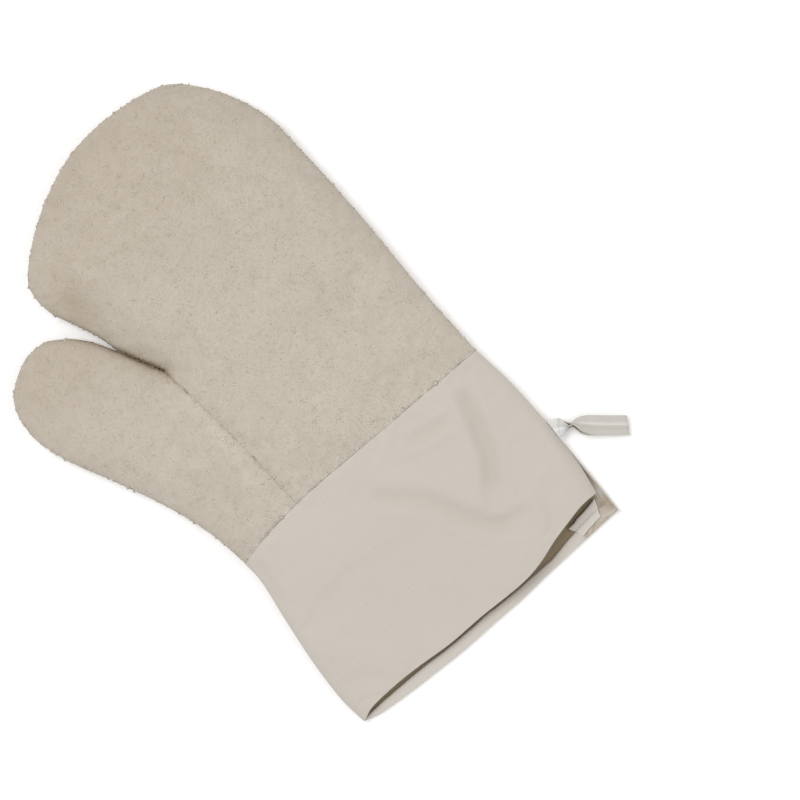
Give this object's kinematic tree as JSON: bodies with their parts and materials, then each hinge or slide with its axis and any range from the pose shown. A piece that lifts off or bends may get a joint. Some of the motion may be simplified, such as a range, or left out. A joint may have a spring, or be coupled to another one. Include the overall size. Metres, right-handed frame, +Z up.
{
  "type": "oven glove",
  "caption": "Thick terry oven mitt with a sewn-on thumb, a long flared canvas cuff and a tape hanging loop, lying flat with its back up.",
  "frame": {"origin": "on the surface it lies on, below the middle of its bounding box", "axes": "+Y from the cuff's hem to the fingertips, +Z up out of the back of the hand, the thumb on the -X side"},
  "size_m": [0.293, 0.3954, 0.0304],
  "materials": {
    "terry": "undyed cotton loop terry, matt, thick uncut pile",
    "canvas": "undyed plain-woven cotton canvas, matt and smooth",
    "tape": "off-white woven cotton tape"
  },
  "bodies": {
    "root": {"hand_back_panel": "terry", "hand_palm_panel": "terry", "thumb_back_panel": "terry", "thumb_palm_panel": "terry", "cuff_back_panel": "canvas", "cuff_palm_panel": "canvas", "cuff_seam_allowance": "canvas", "hanging_loop": "tape"}
  },
  "joints": []
}
